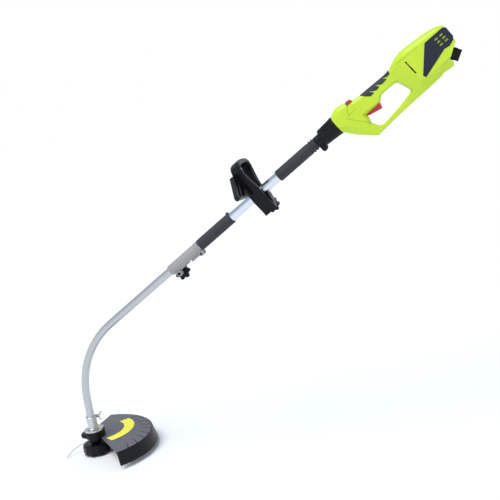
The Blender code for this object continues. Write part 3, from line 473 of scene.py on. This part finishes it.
# ---- Star knobs and bolts
# Seven-lobed black hand knobs draw the handle clamp and the shaft coupler tight.
# Each is moulded on a steel stud.
HANDLE_KNOB = [
    (-28, 0), (-28, 2.6), (-27.6, 3), (29.4, 3), (29.4, 9), (33, 9.5), (34, 20), (34.8, 21.4), (36, 22),
    (40, 22.2), (44, 22), (45.6, 20.9), (46.5, 19), (47, 16), (47, 11), (46.2, 9.5), (46.2, 0),
]
COUPLER_KNOB = [
    (9.3, 0), (9.3, 7), (17.5, 7.5), (17.5, 22), (18.2, 24), (19.5, 25), (24, 25.2), (28, 25),
    (30, 23.8), (31, 22), (31.5, 18), (31.5, 10), (30.6, 8.5), (30.6, 0),
]
knob = fluted(spun("handle_star", HANDLE_KNOB, 84), 7, 5.0, 33.5, 48, 9.8, 1.4)
fit(placed(rounded(knob, 0.5), across(624, 0, -49)), black, "handle_knob", "black_plastic", "handle_knob")
knob = fluted(spun("coupler_star", COUPLER_KNOB, 84), 7, 6.0, 17, 32, 8.6, 1.4)
fit(placed(rounded(knob, 0.5), across(284, 0, -23.5)), black, "coupler_knob", "black_plastic", "coupler_knob")

# ---- Shaft coupler
# A matt grey cast sleeve that joins the two tubes. Its split end closes on the lower tube,
# drawn tight through two ears with cross bolts.
cast = Finish("cast_grey", metallic=0.35)
sand = cast.noise(650.0, 3.0)
cast.set("Base Color", cast.mix(cast.noise(14.0, 4.0), (0.27, 0.265, 0.255), (0.35, 0.345, 0.335)))
cast.set("Roughness", sand * 0.14 + 0.42)
cast.bump(sand, 0.00018)
refined("coupler_body", "coupler", cast, 0.5)
refined("coupler_bolt", "coupler_stud", black, 0.3)
refined("coupler_cap_bolt", "coupler_cap", black, 0.4)

# ---- Tube clamp, wing screw and flange
# Bright plated steel parts that fix the head to the tube's lower end, over a black gasket and arbor casing.
steel = Finish("plated_steel", metallic=1.0)
steel_haze = steel.noise(35.0, 4.0)
steel.set("Base Color", steel.mix(steel_haze, (0.50, 0.51, 0.53), (0.66, 0.67, 0.69)))
steel.set("Roughness", steel_haze * 0.2 + 0.22)
steel.bump(steel.noise(900.0, 2.0), 0.00003)
refined("tube_clamp", "end_clamp", steel, 0.5)
refined("clamp_wing", "wing_screw", steel, 0.4)
refined("head_flange", "flange", steel, 0.6)
refined("flange_gasket", "gasket", black, 0.6)
refined("arbor_housing", "arbor_shell", black, 1.2, 3)

# ---- Guard
# A moulded guard: mid-grey textured top with slanted slots and a black skirt round its rim.
# The yellow film carries no marks.
guard_top = moulded("guard_grey", (0.086, 0.088, 0.105), 0.46, grain=0.0002, pitch=900.0)
film = moulded("yellow_film", (0.86, 0.80, 0.03), 0.36, grain=0.00002, drift=0.04)
refined("guard_plate", "guard_top", guard_top, 0.6)
refined("guard_skirt", "guard_rim", black, 0.7)
refined("guard_label", "yellow_arc", film, 0.15)
refined("cutter_blade", "line_cutter", steel, 0.1)

# ---- Line head
# A black lobed drum and cap turn on the spindle.
# The knob under them is tapped on the ground to feed line.
refined("spool_housing", "head_drum", black, 0.8)
refined("spool_cap", "head_cap", black, 0.8)
refined("bump_knob", "tap_knob", black, 0.8)

# The spring behind the knob, which shortens on the real head as the knob is tapped, gets a mesh of its own.
spring = refined("bump_spring", "tap_spring", steel, 0.04)
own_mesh(spring)

# ---- Small and inner parts
# Screws, pins, bearings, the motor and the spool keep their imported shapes.
copper = Finish("enamelled_copper", metallic=1.0)
copper.set("Base Color", copper.mix(copper.noise(300.0, 3.0), (0.42, 0.15, 0.05), (0.62, 0.26, 0.09)))
copper.set("Roughness", copper.noise(50.0, 2.0) * 0.2 + 0.26)
FINISHES = {
    "steel": steel, "copper": copper, "black_plastic": black, "nylon": nylon, "foam": foam,
    "dark_panel": panel_dark, "lime_plastic": lime, "soft_grip": grip_rubber, "red_plastic": signal_red,
    "bright_tube": bright_tube, "grey_cast": cast, "grey_plastic": guard_top, "yellow_label": film,
}
for node, slot in BODY_SLOTS.items():
    held = frame["nodes"][node].data.materials
    held.clear()
    held.append(FINISHES[slot].material)

# ---- Floor
# A wide plain pale floor just under the knob, wide enough that its edge melts into the room.
pale = moulded("pale_floor", (0.86, 0.86, 0.86), 0.7, drift=0.01)
bpy.ops.mesh.primitive_plane_add(size=60.0, location=(0.6, 0.0, -0.0006))
floor = bpy.context.object
floor.name = "floor"
floor.data.materials.append(pale.material)
